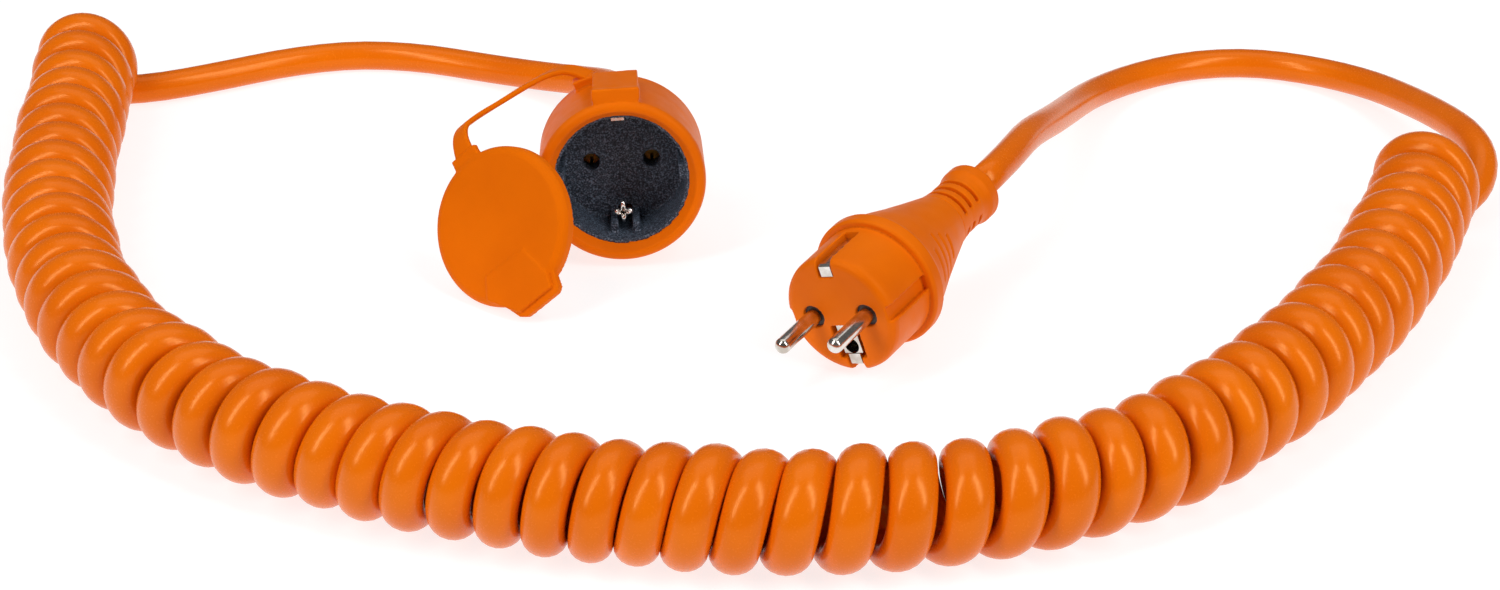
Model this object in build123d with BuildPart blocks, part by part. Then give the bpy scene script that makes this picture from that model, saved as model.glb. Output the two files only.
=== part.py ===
"""Coiled extension cord: earthed two-pole plug, coupler with a tethered lid, spiral cord between.

Units are millimetres, +Z is up and the cord lies on the plane z = 0.  The coupler and its lid
stand over the origin.  Each connector is drawn in its own plane: the coupler's looks out of its
mouth, the plug's looks along its pins, and depths are counted back from the face.
"""
import math
import os

from build123d import *

# ---- driving dimensions ------------------------------------------------------------------
lead_radius = 5.0            # straight ends of the rubber cord
coil_radius = 17.0           # outside radius of the spiral
pin_spacing = 19.0
pin_radius = 2.4
pin_length = 19.0
pin_seat, seat_radius = 2.4, 3.5      # round seat in the plug's face
pin_root_radius, shank_radius = 2.7, 1.9  # the pin's shoulder in its seat, and its thinner rear
collar_top = 1.2                      # depth of the collars' top in the seats
pin_hole_radius = 2.65
core_radius = 1.5            # insulated conductor

# the coupler's group is centred over the origin
stand_x, stand_y = -54.69, 66.81


def at(x, y, z):
    """Point on the laid-out cord, moved so that the coupler stands over the origin."""
    return Vector(x - stand_x, y - stand_y, z)


# ---- coupler plane: Z out of the mouth, Y to the latch on top ---------------------------
mouth = at(-39.4, 52.1, 28.4)
coupler_face = Plane(origin=mouth, x_dir=(0.9975, 0.0473, 0.0520), z_dir=(0.0416, -0.9937, 0.1045))
coupler_axis = Axis(mouth, coupler_face.z_dir)
coupler_section = Plane(origin=mouth, x_dir=coupler_face.x_dir, z_dir=-coupler_face.y_dir)

rim_radius, body_radius = 26.0, 25.6
rim_opening = 23.0
cup_radius, cup_wall, cup_edge = 20.0, 1.9, 3.2
recess_floor, floor_thickness = 21.0, 6.0
body_end, coupler_shoulder, coupler_taper, coupler_end = 28.0, 34.0, 54.0, 70.0

# ---- plug plane: Z along the pins, X from pin to pin, Y to the upper earth groove --------
plug_centre = at(26.0, -19.6, 20.4)
plug_face = Plane(origin=plug_centre, x_dir=(0.789, -0.529, 0.312), z_dir=(-0.538, -0.8365, -0.1034))
plug_axis = Axis(plug_centre, plug_face.z_dir)
plug_section = Plane(origin=plug_centre, x_dir=plug_face.x_dir, z_dir=-plug_face.y_dir)

plug_radius = 18.6
flange_radius, flange_front, flange_back = 20.8, 20.0, 26.0
plug_taper, plug_end = 57.0, 79.0
neck_radius, end_ring_radius = 8.5, 9.4

# ---- lid plane: Z out of its outer face, Y to the neck of the strap ----------------------
lid_centre = at(-76.2, 30.4, 24.4)
lid_face = Plane(origin=lid_centre, x_dir=(0.713, -0.120, 0.690), z_dir=(-0.533, -0.733, 0.423))
lid_axis = Axis(lid_centre, lid_face.z_dir)
lid_section = Plane(origin=lid_centre, x_dir=lid_face.x_dir, z_dir=-lid_face.y_dir)
lid_radius, lid_depth, lid_wall = 24.5, 5.0, 1.8

os.makedirs("parts", exist_ok=True)


def place(plane, x, y, depth):
    """World point at x, y in a connector's plane, depth behind its face."""
    return plane.origin + plane.x_dir * x + plane.y_dir * y - plane.z_dir * depth


def turned(section, axis, outline):
    """Solid of revolution from (radius, -depth) points."""
    with BuildPart(mode=Mode.PRIVATE) as body:
        with BuildSketch(section):
            with BuildLine():
                Polyline(*outline, close=True)
            make_face()
        revolve(axis=axis)
    return body.part


def corner_radii(route):
    """Largest even arc for each corner: 0.45 of the shorter run over tan(half the turn)."""
    radii = []
    for before, here, after in zip(route, route[1:], route[2:]):
        turn = (here - before).get_angle(after - here)
        run = min((here - before).length, (after - here).length)
        radii.append(0.45 * run / math.tan(math.radians(turn / 2)))
    return radii


def tube(name, route, radius):
    """Round tube along straight runs joined by tangent arcs."""
    radii = corner_radii(route)
    with BuildPart(mode=Mode.PRIVATE) as pipe:
        with BuildLine() as path:
            FilletPolyline(*route, radius=radii)
        with BuildSketch(Plane(origin=path.line @ 0, z_dir=path.line % 0)):
            Circle(radius)
        sweep(path=path.line)
    length = sum(edge.length for edge in path.edges())
    error = pipe.part.volume / (math.pi * radius**2 * length) - 1
    print(f"{name}: length {length:.0f}, volume error {error:.4f}, radii",
          " ".join(f"{r:.0f}" for r in radii))
    return pipe.part


def save(part, name):
    """Label a finished piece and write its STEP file."""
    part.label = name
    export_step(part, f"parts/{name}.step")


# ================================ coupler ==================================================
with BuildPart() as coupler_housing:
    add(turned(coupler_section, coupler_axis, [
        (rim_opening, 0), (rim_radius - 1.6, 0), (rim_radius - 0.5, -0.6), (rim_radius, -1.8),
        (body_radius, -body_end), (body_radius - 1.6, -body_end - 3.2), (20.5, -coupler_shoulder),
        (11.5, -coupler_taper + 1), (10.0, -coupler_taper), (5.8, -coupler_taper),
        (5.8, -coupler_taper + 4), (13.2, -44.0), (17.6, -coupler_shoulder), (22.0, -body_end - 1.0),
        (22.0, -cup_edge), (cup_radius + 0.6, -cup_edge),
    ]))
    # latch block on top, with a lip over the mouth that the lid's edge snaps behind
    with BuildSketch(coupler_face.offset(-1.2)):
        with Locations((0, 26.9)):
            Rectangle(14.0, 5.6)
    extrude(amount=-19.0)
    with BuildSketch(coupler_face.offset(-1.2)):
        with Locations((0, 28.2)):
            Rectangle(14.8, 3.6)
    extrude(amount=-2.0)
    # boss at the rear of the body that the strap grows out of
    with BuildSketch(coupler_face.offset(-(body_end - 5.0))):
        with Locations((-9.5, 24.4)):
            Rectangle(7.0, 4.6, rotation=20)
    extrude(amount=-5.0)
    # finger grooves down both sides of the taper
    for side in (-1, 1):
        for k in range(4):
            depth = 37.0 + 4.0 * k
            groove_x = side * (20.5 - 0.474 * (depth - coupler_shoulder) + 0.2)
            with BuildSketch(coupler_face.offset(-depth)):
                with Locations((groove_x, 0)):
                    Rectangle(1.8, 13.0 - 1.5 * k)
            extrude(amount=-1.5, mode=Mode.SUBTRACT)
save(coupler_housing.part, "coupler_housing")

def bend_relief(section, axis, face, start, end):
    """Ribbed sleeve: bore for the cord, three rows of broken slots and a thick end ring."""
    length = end - start
    with BuildPart(mode=Mode.PRIVATE) as sleeve:
        add(turned(section, axis, [
            (lead_radius + 0.1, -start), (neck_radius + 0.9, -start),
            (neck_radius, -start - 0.3 * length), (neck_radius, -start - 0.62 * length),
            (end_ring_radius - 0.6, -start - 0.7 * length), (end_ring_radius, -start - 0.78 * length),
            (end_ring_radius, -end + 1.2), (end_ring_radius - 1.2, -end), (lead_radius + 0.1, -end),
        ]))
        for row in range(3):
            with BuildSketch(face.offset(-(start + (0.13 + 0.18 * row) * length))):
                Circle(neck_radius + 3)
                Circle(neck_radius - 1.4, mode=Mode.SUBTRACT)
                Rectangle(2 * neck_radius + 8, 4.4, rotation=-8, mode=Mode.SUBTRACT)
            extrude(amount=-1.5, mode=Mode.SUBTRACT)
    return sleeve.part


with BuildPart() as coupler_bend_relief:
    add(bend_relief(coupler_section, coupler_axis, coupler_face, coupler_taper, coupler_end))
save(coupler_bend_relief.part, "coupler_bend_relief")

with BuildPart() as socket_insert:
    add(turned(coupler_section, coupler_axis, [
        (0, -recess_floor), (cup_radius, -recess_floor), (cup_radius, -cup_edge),
        (cup_radius + cup_wall, -cup_edge), (cup_radius + cup_wall, -recess_floor - floor_thickness),
        (0, -recess_floor - floor_thickness),
    ]))
    # guide ribs at the sides and pads for the earth springs at top and bottom
    with BuildSketch(coupler_face.offset(-6.5)):
        for angle in (0, 180):
            with PolarLocations(19.4, 1, start_angle=angle):
                Rectangle(3.4, 5.0)
    extrude(amount=-(recess_floor - 6.5))
    with BuildSketch(coupler_face.offset(-9.0)):
        for angle in (90, 270):
            with PolarLocations(18.7, 1, start_angle=angle):
                Rectangle(4.6, 9.0)
    extrude(amount=-(recess_floor - 9.0))
    # slots for the earth springs
    with BuildSketch(coupler_face.offset(-cup_edge - 1.0)):
        for angle in (90, 270):
            with PolarLocations(17.6, 1, start_angle=angle):
                Rectangle(5.2, 4.4)
    extrude(amount=-(recess_floor + floor_thickness - cup_edge - 1.0), mode=Mode.SUBTRACT)
    with BuildSketch(coupler_face.offset(-recess_floor)):
        with GridLocations(pin_spacing, 1, 2, 1):
            Circle(pin_hole_radius)
    extrude(amount=-floor_thickness, mode=Mode.SUBTRACT)
save(socket_insert.part, "socket_insert")

with BuildPart() as insert_cover:
    with BuildSketch(coupler_face.offset(-recess_floor - floor_thickness - 11.0)):
        Circle(14.8)
        with GridLocations(pin_spacing, 1, 2, 1):
            Circle(core_radius + 1.0, mode=Mode.SUBTRACT)
        with Locations((0, 6.2)):
            Circle(core_radius + 1.5, mode=Mode.SUBTRACT)
    extrude(amount=-1.6)
save(insert_cover.part, "insert_cover")


def tulip_contact(x):
    """Slotted spring sleeve that grips one pin, closed at the back by its crimp barrel."""
    with BuildPart(mode=Mode.PRIVATE) as sleeve:
        with BuildSketch(coupler_face.offset(-recess_floor - floor_thickness)):
            with Locations((x, 0)):
                Circle(3.4)
                Circle(pin_radius, mode=Mode.SUBTRACT)
        extrude(amount=-7.0)
        with BuildSketch(coupler_face.offset(-recess_floor - floor_thickness)):
            with Locations((x, 0)):
                Rectangle(1.0, 9.0)
        extrude(amount=-5.5, mode=Mode.SUBTRACT)
        with BuildSketch(coupler_face.offset(-recess_floor - floor_thickness - 7.0)):
            with Locations((x, 0)):
                Circle(3.4)
        extrude(amount=-1.2)
    return sleeve.part


for name, x in (("line_contact", -pin_spacing / 2), ("neutral_contact", pin_spacing / 2)):
    with BuildPart() as contact:
        add(tulip_contact(x))
    save(contact.part, name)


def earth_spring(side):
    """Springy strip in the cup's slot, bowed towards the middle where it meets the plug."""
    with BuildPart(mode=Mode.PRIVATE) as strip:
        with BuildSketch(Plane(origin=place(coupler_face, -2.0, 0, 0),
                               x_dir=coupler_face.y_dir * side, z_dir=coupler_face.x_dir)):
            with BuildLine():
                Polyline((19.4, -side * 5.4), (18.4, -side * 5.4), (15.7, -side * 10.0),
                         (15.7, -side * 12.0), (18.0, -side * 19.0), (18.0, -side * 27.8),
                         (0, -side * 27.8), (0, -side * 28.6), (18.8, -side * 28.6),
                         (18.8, -side * 18.8), (16.6, -side * 12.0), (16.6, -side * 10.2),
                         (19.4, -side * 6.2), close=True)
            make_face()
        extrude(amount=4.0)
    return strip.part


for name, side in (("earth_spring_top", 1), ("earth_spring_bottom", -1)):
    with BuildPart() as spring:
        add(earth_spring(side))
    save(spring.part, name)


def crimps(plane, centres, depth):
    """Ferrules where the cores meet their contacts, one solid each."""
    with BuildPart(mode=Mode.PRIVATE) as group:
        with BuildSketch(plane.offset(-depth)):
            with Locations(*centres):
                Circle(2.0)
        extrude(amount=-2.0)
    return group.part


back_of_contacts = recess_floor + floor_thickness + 8.2
with BuildPart() as coupler_crimps:
    add(crimps(coupler_face, [(-pin_spacing / 2, 0), (pin_spacing / 2, 0)], back_of_contacts))
save(coupler_crimps.part, "coupler_crimps")


def core(plane, start, end_x, end_y, end_depth):
    """One insulated conductor from a contact to its place in the cord's sheath."""
    x, y, depth = start
    with BuildPart(mode=Mode.PRIVATE) as wire:
        with BuildLine() as path:
            Spline(place(plane, x, y, depth), place(plane, end_x, end_y, end_depth),
                   tangents=(-plane.z_dir, -plane.z_dir), tangent_scalars=(0.8, 0.8))
        with BuildSketch(Plane(origin=path.line @ 0, z_dir=path.line % 0)):
            Circle(core_radius)
        sweep(path=path.line)
    return wire.part


sheath_start = coupler_taper - 4.0
for name, start, end_x, end_y in (
    ("coupler_core_line", (-pin_spacing / 2, 0, back_of_contacts + 2.0), -1.8, -1.1),
    ("coupler_core_neutral", (pin_spacing / 2, 0, back_of_contacts + 2.0), 1.8, -1.1),
    ("coupler_core_earth", (0, 8.0, 28.6), 0, 2.1),
):
    with BuildPart() as wire:
        add(core(coupler_face, start, end_x, end_y, sheath_start))
    save(wire.part, name)

with BuildPart() as coupler_sheath_end:
    with BuildSketch(coupler_face.offset(-sheath_start)):
        Circle(lead_radius)
    extrude(amount=-(coupler_end - sheath_start))
save(coupler_sheath_end.part, "coupler_sheath_end")

# ================================ lid ======================================================
with BuildPart() as lid:
    add(turned(lid_section, lid_axis, [
        (0, 0.3), (lid_radius - 2.4, 0), (lid_radius - 0.8, -0.7), (lid_radius, -2.2),
        (lid_radius, -lid_depth), (lid_radius - lid_wall, -lid_depth),
        (lid_radius - lid_wall, -2.6), (0, -2.6),
    ]))
    # pull tab opposite the strap, and a raised field that points up the face from it
    with BuildSketch(lid_face.offset(-0.9)):
        with BuildLine():
            Polyline((-11.6, -21.4), (-8.6, -27.2), (-6.4, -28.6), (6.6, -28.6), (8.2, -27.4),
                     (9.2, -22.4), close=True)
        make_face()
    extrude(amount=-2.6)
    with BuildSketch(lid_face.offset(-0.9)):
        with BuildLine():
            Polyline((-15.4, -17.0), (-11.8, -10.4), (4.0, -10.9), (7.6, -22.6), (6.8, -26.4),
                     (-7.4, -26.4), close=True)
        make_face()
    extrude(amount=1.4)
    # ear that the strap joins
    with BuildSketch(lid_face.offset(-1.0)):
        with Locations((0, 24.0)):
            Rectangle(10.0, 6.0)
    extrude(amount=-2.2)
save(lid.part, "lid")

with BuildPart() as lid_seal:
    add(turned(lid_section, lid_axis, [
        (16.2, -2.6), (19.2, -2.6), (19.2, -lid_depth), (17.0, -lid_depth - 2.4),
        (15.8, -lid_depth - 2.4),
    ]))
save(lid_seal.part, "lid_seal")

strap_width, strap_thickness = 5.6, 1.7
strap_route = [
    at(-49.5, 80.0, 51.4), at(-55.0, 82.0, 53.4), at(-61.5, 80.5, 52.9), at(-69.5, 76.0, 50.2),
    at(-77.5, 70.5, 47.0), at(-85.0, 65.0, 44.4), place(lid_face, 0, 34.5, 3.0),
    place(lid_face, 0, 27.5, 2.1),
]
with BuildPart() as lid_strap:
    with BuildLine() as strap_line:
        FilletPolyline(*strap_route, radius=corner_radii(strap_route))
    with BuildSketch(Plane(origin=strap_line.line @ 0, z_dir=strap_line.line % 0, x_dir=(0.3, 1, 0))):
        Rectangle(strap_width, strap_thickness)
    sweep(path=strap_line.line)
save(lid_strap.part, "lid_strap")

# ================================ plug =====================================================
with BuildPart() as plug_housing:
    add(turned(plug_section, plug_axis, [
        (0, 0), (plug_radius - 2.4, 0), (plug_radius - 1.2, -0.3), (plug_radius - 0.35, -1.1),
        (plug_radius, -2.4), (plug_radius, -flange_front),
        (flange_radius - 0.7, -flange_front), (flange_radius, -flange_front - 0.8),
        (flange_radius, -flange_back + 1.6), (flange_radius - 1.4, -flange_back),
        (18.9, -flange_back - 1.4), (17.5, -32.0), (15.2, -38.5), (12.2, -48.0),
        (neck_radius + 1.0, -plug_taper),
        (5.8, -plug_taper), (5.8, -plug_taper + 4), (12.6, -38.0), (15.6, -flange_back),
        (15.6, -14.0), (0, -14.0),
    ]))
    # guide channels down the sides of the nose, up to the flange
    for side in (-1, 1):
        with BuildSketch(plug_face):
            with Locations((side * (plug_radius + 0.2), 0)):
                Rectangle(4.0, 4.8)
        extrude(amount=-flange_front, mode=Mode.SUBTRACT)
    # earth grooves at top and bottom
    for side in (-1, 1):
        with BuildSketch(plug_face):
            with Locations((0, side * (plug_radius - 0.4))):
                Rectangle(5.2, 5.0)
        extrude(amount=-17.5, mode=Mode.SUBTRACT)
    # the grooves' front ends reach inwards for the bent ends of the earth strips
    for side in (-1, 1):
        with BuildSketch(plug_face):
            with Locations((0, side * 14.6)):
                Rectangle(5.2, 4.0)
        extrude(amount=-2.0, mode=Mode.SUBTRACT)
    # pin seats and the opening of the female earth contact
    with BuildSketch(plug_face):
        with GridLocations(pin_spacing, 1, 2, 1):
            Circle(seat_radius)
    extrude(amount=-pin_seat, mode=Mode.SUBTRACT)
    with BuildSketch(plug_face):
        with GridLocations(pin_spacing, 1, 2, 1):
            Circle(shank_radius)
        with Locations((0, -8.6)):
            Rectangle(9.4, 10.8)
    extrude(amount=-14.0, mode=Mode.SUBTRACT)
    # grip grooves cut round both sides of the rear
    for side in (-1, 1):
        for depth, span in ((29.6, 11.0), (33.6, 17.0), (37.6, 13.0), (41.6, 8.0)):
            surface = 19.0 - 0.36 * (depth - 28.0)
            with BuildSketch(plug_face.offset(-depth)):
                Circle(surface + 2.0)
                Circle(surface - 0.8, mode=Mode.SUBTRACT)
                with Locations((side * surface, 0)):
                    Rectangle(16.0, span, mode=Mode.INTERSECT)
            extrude(amount=-1.3, mode=Mode.SUBTRACT)
save(plug_housing.part, "plug_housing")

with BuildPart() as plug_bend_relief:
    add(bend_relief(plug_section, plug_axis, plug_face, plug_taper, plug_end))
save(plug_bend_relief.part, "plug_bend_relief")

# carrier that holds the pins inside the nose
with BuildPart() as contact_carrier:
    with BuildSketch(plug_face.offset(-14.0)):
        Circle(15.4)
        with GridLocations(pin_spacing, 1, 2, 1):
            Circle(shank_radius, mode=Mode.SUBTRACT)
        with Locations((0, -10.2)):
            Rectangle(9.4, 7.6, mode=Mode.SUBTRACT)
        with Locations((0, 14.0), (0, -15.0)):
            Rectangle(4.4, 4.0, mode=Mode.SUBTRACT)
    extrude(amount=-5.0)
save(contact_carrier.part, "contact_carrier")

for name, x in (("plug_pin_left", -pin_spacing / 2), ("plug_pin_right", pin_spacing / 2)):
    with BuildPart() as pin:
        with BuildSketch(plug_face.offset(-collar_top)):
            with Locations((x, 0)):
                Circle(pin_radius)
        extrude(amount=collar_top + pin_length)
        fillet(pin.faces().sort_by(plug_axis)[-1].edges(), radius=pin_radius - 0.3)
        with BuildSketch(plug_face.offset(-collar_top)):
            with Locations((x, 0)):
                Circle(pin_root_radius)
        extrude(amount=collar_top - pin_seat)
        with BuildSketch(plug_face.offset(-22.0)):
            with Locations((x, 0)):
                Circle(shank_radius)
        extrude(amount=22.0 - pin_seat)
    save(pin.part, name)

with BuildPart() as pin_collars:
    with BuildSketch(plug_face.offset(-collar_top)):
        with GridLocations(pin_spacing, 1, 2, 1):
            Circle(seat_radius)
            Circle(pin_root_radius, mode=Mode.SUBTRACT)
    extrude(amount=collar_top - pin_seat)
save(pin_collars.part, "pin_collars")


def side_contact(side):
    """Earth strip in one groove: bent over the nose's edge, flat along the groove's floor."""
    with BuildPart(mode=Mode.PRIVATE) as strip:
        with BuildSketch(Plane(origin=place(plug_face, -2.0, 0, 0),
                               x_dir=plug_face.y_dir * side, z_dir=plug_face.x_dir)):
            with BuildLine():
                Polyline((12.8, -side * 0.6), (16.0, -side * 0.6), (16.6, -side * 1.4),
                         (16.6, -side * 16.9), (15.75, -side * 16.9), (15.75, -side * 1.4),
                         (12.8, -side * 1.4), close=True)
            make_face()
        extrude(amount=4.0)
    return strip.part


for name, side in (("side_contact_top", 1), ("side_contact_bottom", -1)):
    with BuildPart() as contact:
        add(side_contact(side))
    save(contact.part, name)

# female earth contact: plate with a round hole, on a sprung box
with BuildPart() as earth_socket:
    with BuildSketch(plug_face.offset(-0.8)):
        with Locations((0, -8.0)):
            Rectangle(6.4, 9.2)
        with Locations((0, -10.2)):
            Circle(2.45, mode=Mode.SUBTRACT)
    extrude(amount=-1.0)
    with BuildSketch(plug_face.offset(-1.8)):
        with Locations((0, -10.2)):
            Circle(3.1)
            Circle(2.45, mode=Mode.SUBTRACT)
    extrude(amount=-17.0)
save(earth_socket.part, "earth_socket")

with BuildPart() as plug_crimps:
    add(crimps(plug_face, [(-pin_spacing / 2, 0), (pin_spacing / 2, 0)], 22.0))
save(plug_crimps.part, "plug_crimps")

plug_sheath_start = plug_taper - 4.0
for name, start, end_x, end_y in (
    ("plug_core_line", (-pin_spacing / 2, 0, 24.0), -1.8, 1.1),
    ("plug_core_neutral", (pin_spacing / 2, 0, 24.0), 1.8, 1.1),
    ("plug_core_earth", (0, -10.2, 18.8), 0, -2.1),
):
    with BuildPart() as wire:
        add(core(plug_face, start, end_x, end_y, plug_sheath_start))
    save(wire.part, name)

with BuildPart() as plug_sheath_end:
    with BuildSketch(plug_face.offset(-plug_sheath_start)):
        Circle(lead_radius)
    extrude(amount=-(plug_end - plug_sheath_start))
save(plug_sheath_end.part, "plug_sheath_end")

# ================================ cord =====================================================
# from the coupler's sleeve down to the surface and along it to the coil's far left end
coupler_lead_route = [
    place(coupler_face, 0, 0, coupler_end), place(coupler_face, 0, 0, coupler_end + 16.0),
    at(-46.5, 153.5, 15.8), at(-57.0, 168.0, 10.4), at(-73.0, 180.0, 6.8), at(-93.0, 190.5, 5.2),
    at(-115.0, 199.5, 5.0), at(-138.5, 202.0, 5.0), at(-161.0, 195.5, 5.0), at(-183.0, 183.5, 5.0),
    at(-205.0, 173.0, 5.0), at(-223.0, 167.5, 5.0),
]
with BuildPart() as cord_lead_coupler:
    add(tube("cord_lead_coupler", coupler_lead_route, lead_radius))
save(cord_lead_coupler.part, "cord_lead_coupler")

# middle line of the spiral, from its far left end round the front to its right end
coil_route = [
    at(-225.0, 172.0, coil_radius), at(-222.0, 128.0, coil_radius), at(-219.0, 84.5, coil_radius),
    at(-213.5, 47.0, coil_radius), at(-204.5, 14.0, coil_radius), at(-189.0, -21.0, coil_radius),
    at(-166.5, -51.0, coil_radius), at(-138.0, -76.0, coil_radius), at(-102.0, -95.5, coil_radius),
    at(-61.0, -111.0, coil_radius), at(-25.0, -119.0, coil_radius), at(10.5, -122.7, coil_radius),
    at(45.0, -119.4, coil_radius), at(81.0, -109.5, coil_radius), at(113.0, -90.5, coil_radius),
    at(141.0, -61.5, coil_radius), at(166.0, -28.0, coil_radius), at(187.5, 9.0, coil_radius),
    at(203.0, 46.0, coil_radius), at(214.5, 82.0, coil_radius),
]
with BuildPart() as cord_coil:
    add(tube("cord_coil", coil_route, coil_radius))
save(cord_coil.part, "cord_coil")

# from the plug's sleeve down to the surface, along it and up to the coil's right end
plug_lead_route = [
    place(plug_face, 0, 0, plug_end), place(plug_face, 0, 0, plug_end + 20.0),
    at(88.0, 87.5, 28.5), at(97.0, 110.5, 21.8), at(105.0, 135.0, 14.6), at(114.5, 160.0, 8.6),
    at(130.5, 181.0, 5.2), at(152.0, 193.0, 5.0), at(174.5, 195.5, 5.0), at(195.5, 187.5, 5.4),
    at(211.5, 171.5, 7.6), at(220.8, 151.5, 11.0), at(226.9, 129.0, 15.2), at(228.5, 106.0, 19.0),
    at(225.0, 86.0, 21.6), at(219.0, 70.0, 22.0),
]
with BuildPart() as cord_lead_plug:
    add(tube("cord_lead_plug", plug_lead_route, lead_radius))
save(cord_lead_plug.part, "cord_lead_plug")
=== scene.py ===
"""Looks of the coiled extension cord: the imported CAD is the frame, and everything rides on its bodies."""
import math

import bpy
import numpy as np
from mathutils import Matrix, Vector


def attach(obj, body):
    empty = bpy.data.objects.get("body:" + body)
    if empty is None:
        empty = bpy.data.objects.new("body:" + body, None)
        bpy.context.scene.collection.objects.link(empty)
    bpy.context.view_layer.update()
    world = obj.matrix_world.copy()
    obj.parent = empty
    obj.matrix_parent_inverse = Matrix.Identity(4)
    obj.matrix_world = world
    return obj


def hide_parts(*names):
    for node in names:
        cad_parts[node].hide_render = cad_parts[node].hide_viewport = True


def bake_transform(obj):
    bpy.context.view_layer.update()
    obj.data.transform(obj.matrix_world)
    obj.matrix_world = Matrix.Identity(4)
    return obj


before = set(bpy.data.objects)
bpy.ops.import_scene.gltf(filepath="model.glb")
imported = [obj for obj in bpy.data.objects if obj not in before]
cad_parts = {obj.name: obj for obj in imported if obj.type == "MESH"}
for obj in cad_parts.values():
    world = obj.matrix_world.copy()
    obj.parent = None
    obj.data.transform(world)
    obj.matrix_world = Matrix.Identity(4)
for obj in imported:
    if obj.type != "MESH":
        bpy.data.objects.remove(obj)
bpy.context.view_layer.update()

MM = 0.001
STAND_X, STAND_Y = -54.69, 66.81          # what part.py takes off every laid-out point, in mm
UP = Vector((0, 0, 1))


# ================================ places and directions ====================================
def at(x, y, z):
    """Point of the laid-out cord, in metres in the row frame."""
    return Vector(((x - STAND_X) * MM, (y - STAND_Y) * MM, z * MM))


def square_to(vector, direction):
    """The part of a vector that stands square to a unit direction, made one long."""
    return (vector - direction * vector.dot(direction)).normalized()


def headings(path):
    """Unit direction of a path at each of its points."""
    last = len(path) - 1
    return [(path[min(i + 1, last)] - path[max(i - 1, 0)]).normalized() for i in range(last + 1)]


def angles_round(count, phase=0.0):
    """Evenly spaced angles over a full turn."""
    return [2 * math.pi * (k + phase) / count for k in range(count)]


def eased(share):
    """Share from 0 to 1 that starts and stops gently."""
    return share * share * (3 - 2 * share)


class Face:
    """A connector's own plane: Z out of its face, X to its right."""

    def __init__(self, origin, x_dir, z_dir):
        self.origin = origin
        self.z = Vector(z_dir).normalized()
        self.x = square_to(Vector(x_dir), self.z)
        self.y = self.z.cross(self.x)

    def place(self, x, y, depth):
        """Point at x, y on the face and at a depth behind it, all in mm."""
        return self.origin + (self.x * x + self.y * y - self.z * depth) * MM


coupler = Face(at(-39.4, 52.1, 28.4), (0.9975, 0.0473, 0.0520), (0.0416, -0.9937, 0.1045))
plug = Face(at(26.0, -19.6, 20.4), (0.789, -0.529, 0.312), (-0.538, -0.8365, -0.1034))
lid = Face(at(-76.2, 30.4, 24.4), (0.713, -0.120, 0.690), (-0.533, -0.733, 0.423))
COUPLER_END, PLUG_END = 70.0, 79.0        # how far behind each face its cord comes out, in mm


# ================================ camera ===================================================
def set_camera():
    """A long lens, in front of the object and above it, that looks down at the cord."""
    tilt, lens, sensor = 62.0, 80.9, 36.0
    data = bpy.data.cameras.new("camera")
    data.lens, data.sensor_width = lens, sensor
    data.clip_start, data.clip_end = 0.01, 20.0
    camera = bpy.data.objects.new("camera", data)
    camera.location = at(0.0, -879.6, 484.7)
    camera.rotation_euler = (math.radians(tilt), 0, 0)
    bpy.context.collection.objects.link(camera)
    bpy.context.scene.camera = camera


set_camera()


# ================================ materials ================================================
NOISE_LOW, NOISE_HIGH = 0.3, 0.7          # between which nearly all of a noise texture lies


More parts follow.
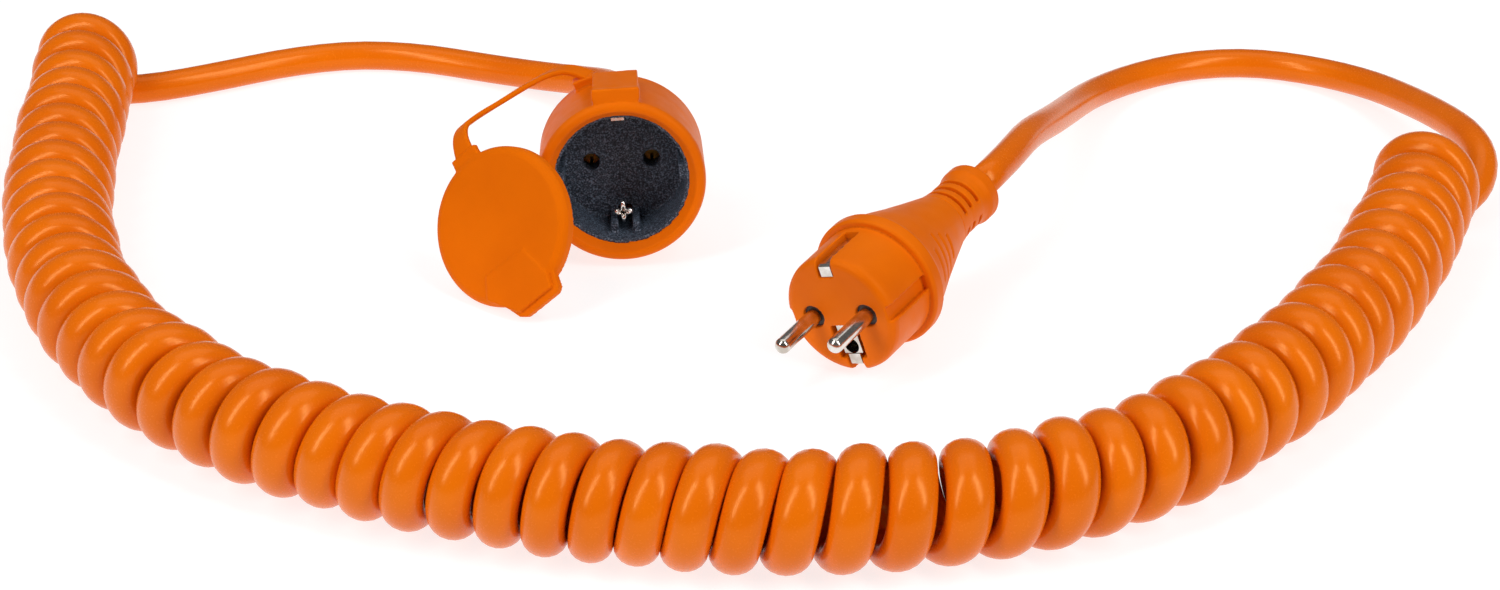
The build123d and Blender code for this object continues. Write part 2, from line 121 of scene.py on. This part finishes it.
class Look:
    """A material in the making: its Principled shader and the textures that feed it."""

    def __init__(self, name, colour, roughness, **sockets):
        self.material = bpy.data.materials.new(name)
        self.material.use_nodes = True
        self.nodes = self.material.node_tree.nodes
        self.links = self.material.node_tree.links
        self.inputs = self.nodes["Principled BSDF"].inputs
        self.inputs["Base Color"].default_value = (*colour, 1)
        self.inputs["Roughness"].default_value = roughness
        for socket, value in sockets.items():
            self.inputs[socket.replace("_", " ")].default_value = value

    def noise(self, scale, detail=4.0, stretch=None):
        """Noise in object space, scale in cycles per metre."""
        place = self.nodes.new("ShaderNodeTexCoord").outputs["Object"]
        texture = self.nodes.new("ShaderNodeTexNoise")
        texture.inputs["Scale"].default_value = scale
        texture.inputs["Detail"].default_value = detail
        if stretch:
            mapping = self.nodes.new("ShaderNodeMapping")
            mapping.inputs["Scale"].default_value = stretch
            self.links.new(place, mapping.inputs["Vector"])
            place = mapping.outputs["Vector"]
        self.links.new(place, texture.inputs["Vector"])
        return texture.outputs["Fac"]

    def ramp(self, source, *stops):
        """Colours that follow a source, from (position, colour) stops."""
        node = self.nodes.new("ShaderNodeValToRGB")
        elements = node.color_ramp.elements
        while len(elements) < len(stops):
            elements.new(0.5)
        for element, (position, colour) in zip(elements, stops):
            element.position = position
            element.color = (*colour, 1)
        self.links.new(source, node.inputs["Fac"])
        return node.outputs["Color"]

    def shaded_in_creases(self, colour, crease_shade_colour):
        """A colour multiplied by a painted shade colour where the surface folds inwards: painted shade in
        its creases.
        """
        folded, flat = 0.43, 0.487
        shape = self.nodes.new("ShaderNodeNewGeometry")
        shade = self.nodes.new("ShaderNodeMix")
        shade.data_type, shade.blend_type = "RGBA", "MULTIPLY"
        shade.inputs["Factor"].default_value = 1.0
        self.links.new(colour, shade.inputs["A"])
        # painted shade: the colour darkens towards the crease colour where pointiness says the surface
        # folds inwards
        depth = self.ramp(shape.outputs["Pointiness"], (folded, crease_shade_colour), (flat, (1, 1, 1)))
        self.links.new(depth, shade.inputs["B"])
        return shade.outputs["Result"]

    def paint(self, colour):
        """Colour output into the shader."""
        self.links.new(colour, self.inputs["Base Color"])

    def gloss(self, source, low, high):
        """Roughness that follows a noise from low to high."""
        node = self.nodes.new("ShaderNodeMapRange")
        node.inputs["From Min"].default_value = NOISE_LOW
        node.inputs["From Max"].default_value = NOISE_HIGH
        node.inputs["To Min"].default_value = low
        node.inputs["To Max"].default_value = high
        self.links.new(source, node.inputs["Value"])
        self.links.new(node.outputs["Result"], self.inputs["Roughness"])

    def bump(self, distance, *sources):
        """Chain of bumps from (source, strength) pairs into the shader's normal."""
        normal = None
        for source, strength in sources:
            node = self.nodes.new("ShaderNodeBump")
            node.inputs["Strength"].default_value = strength
            node.inputs["Distance"].default_value = distance
            self.links.new(source, node.inputs["Height"])
            if normal:
                self.links.new(normal, node.inputs["Normal"])
            normal = node.outputs["Normal"]
        self.links.new(normal, self.inputs["Normal"])


def mottled(name, dark, light, patch, rough, grain, strength, crease_shade_colour=None, **sockets):
    """Moulded surface: two close colours in soft patches, a fine grain, uneven gloss, and painted shade,
    a darker colour multiplied in, down in its creases."""
    look = Look(name, light, rough[0], **sockets)
    patches = look.noise(patch, 3.0)
    fine = look.noise(grain, 5.0)
    broad = look.noise(patch * 2.7, 2.0)
    colour = look.ramp(patches, (0.32, dark), (0.68, light))
    # painted shade goes into the creases when a crease colour is given
    look.paint(look.shaded_in_creases(colour, crease_shade_colour) if crease_shade_colour else colour)
    look.gloss(broad, *rough)
    look.bump(0.0002, (fine, strength), (broad, strength * 0.5))
    return look.material


def cord_material():
    """Glossy polyurethane sheath: slow waves in it, and fine dust that dulls the gloss."""
    look = Look("cord_sheath", (0.80, 0.14, 0.001), 0.2, IOR=1.32, Specular_IOR_Level=1.0,
                Specular_Tint=(1.0, 0.66, 0.26, 1))
    patches = look.noise(38.0, 2.0)
    waves = look.noise(260.0, 3.0)
    dust = look.noise(1400.0, 6.0)
    look.paint(look.ramp(patches, (0.3, (0.76, 0.138, 0.001)), (0.7, (0.83, 0.166, 0.001))))
    look.gloss(dust, 0.19, 0.30)
    look.bump(0.0003, (waves, 0.07), (dust, 0.04))
    return look.material


def insert_material():
    """Black thermoplastic with a spark-eroded texture that sparkles grey."""
    look = Look("black_insert", (0.013, 0.015, 0.019), 0.55, Specular_IOR_Level=0.25)
    speck = look.noise(1900.0, 5.0)
    patches = look.noise(160.0, 3.0)
    pit, skin, spark = (0.014, 0.021, 0.031), (0.050, 0.068, 0.097), (0.170, 0.215, 0.285)
    look.paint(look.ramp(speck, (0.40, pit), (0.52, skin), (0.64, spark)))
    look.gloss(patches, 0.50, 0.66)
    look.bump(0.0003, (speck, 0.55), (patches, 0.15))
    return look.material


def metal_material(name, dark, light, rough, streaks):
    """Plated or bare metal: fine drawn streaks, tarnish patches and uneven gloss."""
    look = Look(name, light, rough[0], Metallic=1.0)
    patches = look.noise(220.0, 4.0)
    drawn = look.noise(streaks, 4.0, stretch=(1.0, 1.0, 0.12))
    look.paint(look.ramp(patches, (0.35, dark), (0.62, light)))
    look.gloss(patches, *rough)
    look.bump(0.0001, (drawn, 0.12))
    return look.material


def striped_material():
    """Green insulation with the yellow stripe that marks the earth core."""
    green, yellow = (0.03, 0.22, 0.03), (0.70, 0.55, 0.02)
    look = Look("core_green_yellow", green, 0.45)
    place = look.nodes.new("ShaderNodeTexCoord")
    wave = look.nodes.new("ShaderNodeTexWave")
    wave.inputs["Scale"].default_value = 160.0
    wave.inputs["Distortion"].default_value = 1.5
    look.links.new(place.outputs["Object"], wave.inputs["Vector"])
    look.paint(look.ramp(wave.outputs["Fac"], (0.52, green), (0.6, yellow)))
    look.bump(0.0001, (look.noise(1500.0), 0.1))
    return look.material


def core_material(name, dark, light):
    """Plain coloured insulation of one core."""
    return mottled(name, dark, light, patch=100.0, rough=(0.4, 0.5), grain=1500.0, strength=0.1)


CORD = cord_material()
# the body's crease colour is painted shade, multiplied into the folds of the moulding
BODY = mottled("moulded_body", (0.77, 0.140, 0.001), (0.83, 0.160, 0.001), patch=60.0,
               rough=(0.40, 0.54), grain=2600.0, strength=0.20, crease_shade_colour=(0.45, 0.22, 0.3),
               Specular_IOR_Level=0.22, Specular_Tint=(1.0, 0.55, 0.14, 1))
# the lid's crease colour is painted shade, multiplied into the folds of the moulding
LID = mottled("lid_elastomer", (0.74, 0.138, 0.001), (0.80, 0.155, 0.001), patch=45.0,
              rough=(0.50, 0.64), grain=2200.0, strength=0.22, crease_shade_colour=(0.6, 0.4, 0.4),
              Specular_IOR_Level=0.12, Specular_Tint=(1.0, 0.50, 0.08, 1))
INSERT = insert_material()
COLLAR = mottled("pin_collar", (0.035, 0.028, 0.024), (0.06, 0.045, 0.04), patch=120.0,
                 rough=(0.4, 0.55), grain=2500.0, strength=0.25)
NICKEL = metal_material("nickel_plate", (0.55, 0.50, 0.44), (0.80, 0.78, 0.74),
                        rough=(0.12, 0.26), streaks=1500.0)
BRASS = metal_material("bare_brass", (0.50, 0.32, 0.12), (0.78, 0.58, 0.26),
                       rough=(0.22, 0.38), streaks=1200.0)
BROWN = core_material("core_brown", (0.10, 0.04, 0.015), (0.16, 0.065, 0.02))
BLUE = core_material("core_blue", (0.015, 0.08, 0.42), (0.02, 0.11, 0.55))
EARTH = striped_material()


# ================================ meshes ===================================================
def new_mesh(name, vertices, faces, material):
    """Smooth-shaded mesh object from metres in the row frame."""
    mesh = bpy.data.meshes.new(name)
    mesh.from_pydata([tuple(v) for v in vertices], [], faces)
    mesh.materials.append(material)
    mesh.polygons.foreach_set("use_smooth", [True] * len(mesh.polygons))
    mesh.update()
    piece = bpy.data.objects.new(name, mesh)
    bpy.context.collection.objects.link(piece)
    return piece


def bake(piece):
    """Apply the piece's modifiers to its mesh."""
    bpy.context.view_layer.update()
    depsgraph = bpy.context.evaluated_depsgraph_get()
    mesh = bpy.data.meshes.new_from_object(piece.evaluated_get(depsgraph))
    piece.modifiers.clear()
    old, piece.data = piece.data, mesh
    bpy.data.meshes.remove(old)


def spline_points(controls, resolution):
    """Points along the NURBS spline that the controls steer."""
    curve = bpy.data.curves.new("route", "CURVE")
    curve.dimensions = "3D"
    curve.resolution_u = resolution
    spline = curve.splines.new("NURBS")
    spline.points.add(len(controls) - 1)
    for point, control in zip(spline.points, controls):
        point.co = (*control, 1)
    spline.order_u = 3
    spline.use_endpoint_u = True
    route = bpy.data.objects.new("route", curve)
    bpy.context.collection.objects.link(route)
    bpy.context.view_layer.update()
    mesh = bpy.data.meshes.new_from_object(route)
    points = [v.co.copy() for v in mesh.vertices]
    bpy.data.objects.remove(route)
    bpy.data.curves.remove(curve)
    bpy.data.meshes.remove(mesh)
    return points


def lofted(name, rings, material, closed_ends=True):
    """Skin over rings of points, the same number in each."""
    count = len(rings[0])
    vertices = [p for ring in rings for p in ring]
    faces = []
    for i in range(len(rings) - 1):
        for j in range(count):
            a, b = i * count + j, i * count + (j + 1) % count
            faces.append((a, b, b + count, a + count))
    if closed_ends:
        faces.append(tuple(reversed(range(count))))
        faces.append(tuple(range(len(vertices) - count, len(vertices))))
    return new_mesh(name, vertices, faces, material)


# ================================ cord =====================================================
LEAD_RADIUS = 5.0 * MM
COIL_RADIUS = 17.0                        # outside, and so the height of its middle line, in mm
TURN_RADIUS = 11.9 * MM                   # middle of the cord from the coil's middle line
TURNS, TURN_POINTS = 54, 16
CORD_SIDES = 20
SHEATH_DEEP = 5.1 * MM                    # half its thickness outwards, where it is wound
SHEATH_FILL = 0.486                       # half its width along the coil, as a share of the pitch there
SHEATH_WIDEST = 6.5 * MM                  # and never more than this
START, END_GAP = 1.0 * MM, 3.0 * MM       # middle line left free before the first turn and after the last

coupler_lead_route = [
    coupler.place(0, 0, COUPLER_END), coupler.place(0, 0, COUPLER_END + 16.0),
    at(-46.5, 153.5, 15.8), at(-57.0, 168.0, 10.4), at(-73.0, 180.0, 6.8), at(-93.0, 190.5, 5.2),
    at(-115.0, 199.5, 5.0), at(-138.5, 202.0, 5.0), at(-161.0, 195.5, 5.0), at(-183.0, 183.5, 5.0),
    at(-205.0, 173.0, 5.0),
]
coil_route = [
    at(-225.0, 172.0, COIL_RADIUS), at(-222.0, 128.0, COIL_RADIUS), at(-219.0, 84.5, COIL_RADIUS),
    at(-213.5, 47.0, COIL_RADIUS), at(-204.5, 14.0, COIL_RADIUS), at(-189.0, -21.0, COIL_RADIUS),
    at(-166.5, -51.0, COIL_RADIUS), at(-138.0, -76.0, COIL_RADIUS), at(-102.0, -95.5, COIL_RADIUS),
    at(-61.0, -111.0, COIL_RADIUS), at(-25.0, -119.0, COIL_RADIUS), at(10.5, -122.7, COIL_RADIUS),
    at(45.0, -119.4, COIL_RADIUS), at(81.0, -109.5, COIL_RADIUS), at(113.0, -90.5, COIL_RADIUS),
    at(141.0, -61.5, COIL_RADIUS), at(166.0, -28.0, COIL_RADIUS), at(187.5, 9.0, COIL_RADIUS),
    at(203.5, 46.0, COIL_RADIUS), at(216.0, 83.0, COIL_RADIUS),
]
plug_lead_route = [
    plug.place(0, 0, PLUG_END), plug.place(0, 0, PLUG_END + 20.0),
    at(88.0, 87.5, 28.5), at(97.0, 110.5, 21.8), at(105.0, 135.0, 14.6), at(114.5, 160.0, 8.6),
    at(130.5, 181.0, 5.2), at(152.0, 193.0, 5.0), at(174.5, 195.5, 5.0), at(195.5, 187.5, 5.4),
    at(211.5, 171.5, 7.6), at(220.8, 151.5, 11.0), at(228.0, 129.0, 15.2), at(233.6, 108.5, 17.6),
    at(235.4, 95.0, 15.2), at(232.2, 85.5, 10.0), at(224.4, 80.2, 6.2),
]

# how openly the cord is wound: distance along the middle line and about the pitch there, in mm
PITCHES = ((0, 13.3), (90, 13.4), (135, 12.6), (180, 13.3), (225, 14.0), (300, 13.2), (375, 12.2),
           (430, 12.9), (480, 14.2), (510, 13.6), (560, 14.6), (600, 13.7), (741, 14.0))
GAP_AT, GAP_REACH, GAP = 450.0, 5.0, 0.04  # one place where the turns stand a little further apart

# how uneven the turns are
WIDE_WAVES = ((0.28, 1.9, 0.0), (0.18, 4.7, 1.0))     # of the radius: mm, radians a turn, phase
LEAN, LEAN_WAVE = 0.55 * MM, 0.83                     # of the tilt: its size, and radians a turn
TIP_BACK, TIP_TURNS = 7.0 * MM, 3                     # the first turns tip back over the lead
LIFT = 0.9                                            # how much of its extra radius lifts a wide turn


class MiddleLine:
    """The coil's middle line by distance along it, with directions taken over a short reach."""

    reach = 4 * MM

    def __init__(self, points):
        self.points = np.array([list(p) for p in points])
        steps = np.linalg.norm(np.diff(self.points, axis=0), axis=1)
        self.along = np.concatenate([[0.0], np.cumsum(steps)])
        self.length = float(self.along[-1])

    def point(self, s):
        return Vector([float(np.interp(s, self.along, self.points[:, k])) for k in range(3)])

    def direction(self, s):
        ahead, behind = min(s + self.reach, self.length), max(s - self.reach, 0)
        return (self.point(ahead) - self.point(behind)).normalized()


middle = MiddleLine(spline_points(coil_route, 24))


def pitch_wanted(share):
    """Relative pitch at a share of the coil's length."""
    places, pitches = zip(*PITCHES)
    place = share * places[-1]
    wider = GAP * math.exp(-((place - GAP_AT) / GAP_REACH) ** 2)
    return float(np.interp(place, places, pitches)) * (1 + wider)


def turn_places():
    """Distance along the middle line of each control point of the winding."""
    count = TURNS * TURN_POINTS
    weights = [pitch_wanted((k + 0.5) / count) for k in range(count)]
    total = sum(weights)
    room = middle.length - START - END_GAP
    places = [START]
    for weight in weights:
        places.append(places[-1] + room * weight / total)
    return places


def winding(places):
    """Control points of the left-handed winding, from the bottom of its left end to the bottom of its
    right end, with each turn a little off the last."""
    # a spline steered by this many points a turn runs inside them
    steer = 1 / (0.75 + 0.25 * math.cos(2 * math.pi / TURN_POINTS))
    points = []
    for k, s in enumerate(places):
        angle = -math.pi / 2 - 2 * math.pi * k / TURN_POINTS
        turn = k / TURN_POINTS
        radius = TURN_RADIUS + sum(size * MM * math.sin(turn * rate + phase)
                                   for size, rate, phase in WIDE_WAVES)
        lean = LEAN * math.sin(angle + turn * LEAN_WAVE)
        lean -= TIP_BACK * (1 + math.sin(angle)) / 2 * math.exp(-turn / TIP_TURNS)
        forward = middle.direction(s)
        side = UP.cross(forward).normalized()
        out = side * math.cos(angle) + UP * math.sin(angle)
        lift = UP * max(radius - TURN_RADIUS, 0.0) * LIFT
        points.append(middle.point(s) + out * radius * steer + forward * lean + lift)
    return points


wound_places = turn_places()
wound_pitches = np.diff(wound_places) * TURN_POINTS
wound = winding(wound_places)
cord_controls = coupler_lead_route + wound + list(reversed(plug_lead_route))
cord_path = spline_points(cord_controls, 3)


def carry_outward(outward, forward):
    """Fill in the leads' outward directions from the coil's nearest turn, without twist."""
    known = [i for i, away in enumerate(outward) if away is not None]
    for i in range(known[0] - 1, -1, -1):
        outward[i] = square_to(outward[i + 1], forward[i])
    for i in range(known[-1] + 1, len(outward)):
        outward[i] = square_to(outward[i - 1], forward[i])


def cord_rings():
    """Rings round the cord: round on the leads, flattened between neighbours where it is wound."""
    count = len(cord_path)
    spans = len(cord_controls) - 2
    first = len(coupler_lead_route)
    last = first + len(wound) - 1
    forward = headings(cord_path)
    outward, wound_share, half_widths = [None] * count, [0.0] * count, [LEAD_RADIUS] * count
    for i in range(count):
        # the control point, counted from 0, that steers the path most at this point
        control = i / (count - 1) * spans + 0.5
        if first <= control <= last:
            place = float(np.interp(control - first, range(len(wound_places)), wound_places))
            pitch = float(np.interp(place, wound_places[:-1], wound_pitches))
            outward[i] = square_to(cord_path[i] - middle.point(place), forward[i])
            wound_share[i] = min(1.0, min(control - first, last - control) / TURN_POINTS)
            half_widths[i] = min(SHEATH_FILL * pitch, SHEATH_WIDEST)
    carry_outward(outward, forward)
    rings = []
    for point, ahead, out, share, wide in zip(cord_path, forward, outward, wound_share, half_widths):
        deep = LEAD_RADIUS + (SHEATH_DEEP - LEAD_RADIUS) * eased(share)
        along = LEAD_RADIUS + (wide - LEAD_RADIUS) * eased(share)
        across = ahead.cross(out)
        rings.append([point + out * deep * math.cos(a) + across * along * math.sin(a)
                      for a in angles_round(CORD_SIDES)])
    return rings


cord = lofted("coiled_cord", cord_rings(), CORD)
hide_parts("cord_lead_coupler", "cord_coil", "cord_lead_plug")
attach(cord, "cord")


# ================================ moulded shells ===========================================
def moulded(node, material, voxel, passes, body="cord"):
    """The CAD node's own shape with its edges rounded over, as a moulding's are: voxel size in mm,
    and smoothing passes."""
    piece = bpy.data.objects.new("moulded_" + node, bpy.data.objects[node].data.copy())
    bpy.context.collection.objects.link(piece)
    remesh = piece.modifiers.new("remesh", "REMESH")
    remesh.mode, remesh.voxel_size = "VOXEL", voxel * MM
    smooth = piece.modifiers.new("smooth", "SMOOTH")
    smooth.factor, smooth.iterations = 0.5, passes
    bake(piece)
    piece.data.materials.clear()
    piece.data.materials.append(material)
    piece.data.polygons.foreach_set("use_smooth", [True] * len(piece.data.polygons))
    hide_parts(node)
    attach(piece, body)


moulded("coupler_housing", BODY, voxel=0.40, passes=5)
moulded("coupler_bend_relief", BODY, voxel=0.28, passes=1)
moulded("plug_bend_relief", BODY, voxel=0.28, passes=1)
moulded("plug_housing", BODY, voxel=0.35, passes=2)
moulded("socket_insert", INSERT, voxel=0.35, passes=3)
moulded("lid", LID, voxel=0.35, passes=5, body="lid")


# ================================ lower earth contact of the socket ========================
# all in mm on the coupler's face, with depths behind it
CLOVER_X, CLOVER_Y, CLOVER_DEPTH = -0.4, -14.0, 12.6
CLOVER_REACH, CLOVER_HALF_THICK = 3.3, 1.05
CLOVER_LOBES, CLOVER_TALLER = 4, 1.12     # how many lobes, and how much taller than wide they stand
CLOVER_STEPS, CLOVER_SIDES = 72, 14
MEAN_REACH = 0.70                         # middle of the wave that the lobes make, as a share of reach
MID_SECTION = 0.62                        # middle of the metal's section, as a share of the wave there
# the leg's line, as heights and depths
LEG_ROUTE = ((-13.4, 13.2), (-15.0, 13.8), (-16.3, 15.4), (-16.9, 18.0), (-17.0, 20.6))
LEG_WIDE, LEG_THICK = 2.4, 0.5


def clover_rings():
    """Rounded lobes of pressed metal about a hole: one section carried round it."""
    rings = []
    for a in angles_round(CLOVER_STEPS) + [2 * math.pi]:
        edge = CLOVER_REACH * (MEAN_REACH + (1 - MEAN_REACH) * math.cos(CLOVER_LOBES * a))
        ring = []
        for b in angles_round(CLOVER_SIDES):
            r = edge * (MID_SECTION + (1 - MID_SECTION) * math.cos(b))
            ring.append(coupler.place(CLOVER_X + r * math.sin(a),
                                      CLOVER_Y + CLOVER_TALLER * r * math.cos(a),
                                      CLOVER_DEPTH - CLOVER_HALF_THICK * math.sin(b)))
        rings.append(ring)
    return rings


def leg_rings():
    """Flat strip that carries the lobes out from the slot in the recess wall."""
    line = [coupler.place(0, y, depth) for y, depth in LEG_ROUTE]
    wide = coupler.x * LEG_WIDE / 2 * MM
    rings = []
    for point, ahead in zip(line, headings(line)):
        thick = ahead.cross(coupler.x).normalized() * LEG_THICK / 2 * MM
        rings.append([point + wide + thick, point + wide - thick,
                      point - wide - thick, point - wide + thick])
    return rings


clover = lofted("earth_contact_clover", clover_rings(), NICKEL, closed_ends=False)
leg = lofted("earth_contact_leg", leg_rings(), NICKEL)
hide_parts("earth_spring_bottom")
for contact in (clover, leg):
    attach(contact, "cord")

# ================================ strap ====================================================
STRAP_WIDE, STRAP_THICK = 5.6 * MM, 1.7 * MM
STRAP_SIDES, STRAP_CORNER = 16, 0.35      # points round it, and its section from 0, square, to 1, oval
FLARE, FLARE_FROM = 0.30, 0.86            # how much wider it ends at the lid, and where that starts

strap_route = [
    at(-49.5, 80.0, 51.4), at(-55.0, 82.0, 53.4), at(-61.5, 80.5, 52.9), at(-69.5, 76.0, 50.2),
    at(-77.5, 70.5, 47.0), at(-85.0, 65.0, 44.4), lid.place(0, 34.5, 3.0), lid.place(0, 25.5, 2.1),
]
# which way its width points at shares of its length: across the coupler's shoulder, then on edge to
# someone looking into the mouth, then flat on the lid
STRAP_LIES = ((0.0, Vector((0.25, 0.95, 0.10))), (0.42, Vector((-0.05, 0.93, -0.36))), (1.0, -lid.x))
strap_path = spline_points(strap_route, 16)


def strap_width_way(share):
    """Direction of the strap's width at a share of its length."""
    before, after = next((a, b) for a, b in zip(STRAP_LIES, STRAP_LIES[1:]) if share <= b[0])
    return before[1].lerp(after[1], eased((share - before[0]) / (after[0] - before[0])))


def rounded(value):
    """A sine or cosine bent so that a ring drawn with it has flat sides and round corners."""
    return math.copysign(abs(value) ** STRAP_CORNER, value)


def strap_rings():
    """Flat band that starts across the coupler's shoulder, twists, and ends flat on the lid's ear."""
    rings = []
    for i, (point, ahead) in enumerate(zip(strap_path, headings(strap_path))):
        share = i / (len(strap_path) - 1)
        wide = square_to(strap_width_way(share), ahead)
        thick = ahead.cross(wide)
        flare = 1.0 + FLARE * max(0.0, (share - FLARE_FROM) / (1 - FLARE_FROM)) ** 2
        half_wide, half_thick = STRAP_WIDE / 2 * flare, STRAP_THICK / 2
        rings.append([point + wide * rounded(math.cos(a)) * half_wide
                      + thick * rounded(math.sin(a)) * half_thick
                      for a in angles_round(STRAP_SIDES, phase=0.5)])
    return rings


strap = lofted("strap_band", strap_rings(), LID)
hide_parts("lid_strap")
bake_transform(strap)

# ================================ carried-over CAD nodes ===================================
finishes = {
    "insert_cover": INSERT, "contact_carrier": INSERT, "pin_collars": COLLAR,
    "line_contact": BRASS, "neutral_contact": BRASS, "coupler_crimps": BRASS, "plug_crimps": BRASS,
    "earth_spring_top": NICKEL, "plug_pin_left": NICKEL, "plug_pin_right": NICKEL,
    "side_contact_top": NICKEL, "side_contact_bottom": NICKEL, "earth_socket": NICKEL,
    "lid_seal": LID, "coupler_sheath_end": CORD, "plug_sheath_end": CORD,
    "coupler_core_line": BROWN, "plug_core_line": BROWN, "coupler_core_neutral": BLUE,
    "plug_core_neutral": BLUE, "coupler_core_earth": EARTH, "plug_core_earth": EARTH,
}
for node, material in finishes.items():
    cad = bpy.data.objects[node]
    cad.data.materials.clear()
    cad.data.materials.append(material)


def darken_root(node, deepest):
    """The part of a pin that stands inside its collar is insulated, up to deepest mm past the face."""
    cad = bpy.data.objects[node]
    cad.data.materials.append(COLLAR)
    for polygon in cad.data.polygons:
        offset = (cad.matrix_world @ polygon.center) - plug.origin
        if offset.dot(plug.z) < deepest * MM:
            polygon.material_index = 1


for pin in ("plug_pin_left", "plug_pin_right"):
    darken_root(pin, 0.6)


# ================================ floor and light ==========================================
def floor():
    """Pale ground, wide enough to fill the picture, that glows so that it stays white."""
    half = 6.0
    vertices = [(-half, -half, 0), (half, -half, 0), (half, half, 0), (-half, half, 0)]
    look = Look("paper", (0.32, 0.32, 0.32), 0.9, Specular_IOR_Level=0.1,
                Emission_Color=(1, 1, 1, 1), Emission_Strength=0.78)
    look.bump(0.0002, (look.noise(300.0, 3.0), 0.02))
    ground = new_mesh("floor", vertices, [(0, 1, 2, 3)], look.material)


def softbox(name, place, width, height, power):
    """Rectangular area light that looks at the middle of the cord."""
    aim = Vector((0.05, -0.06, 0.02))
    data = bpy.data.lights.new(name, "AREA")
    data.shape, data.size, data.size_y = "RECTANGLE", width, height
    data.energy = power
    lamp = bpy.data.objects.new(name, data)
    lamp.location = place
    lamp.rotation_euler = (aim - Vector(place)).to_track_quat("-Z", "Y").to_euler()
    bpy.context.collection.objects.link(lamp)


def surroundings():
    """Even white light from all round."""
    world = bpy.data.worlds.new("world")
    world.use_nodes = True
    background = world.node_tree.nodes["Background"]
    background.inputs["Color"].default_value = (1, 1, 1, 1)
    background.inputs["Strength"].default_value = 0.12
    bpy.context.scene.world = world


floor()
# a tall panel on each side of the camera, and a wide one overhead
softbox("left_panel", (-1.05, -0.85, 1.30), width=0.40, height=1.80, power=19.0)
softbox("right_panel", (1.15, -0.85, 1.30), width=0.40, height=1.80, power=19.0)
softbox("overhead", (0.0, 0.45, 1.7), width=1.8, height=1.2, power=6.5)
surroundings()
bpy.context.scene.view_settings.view_transform = "Standard"
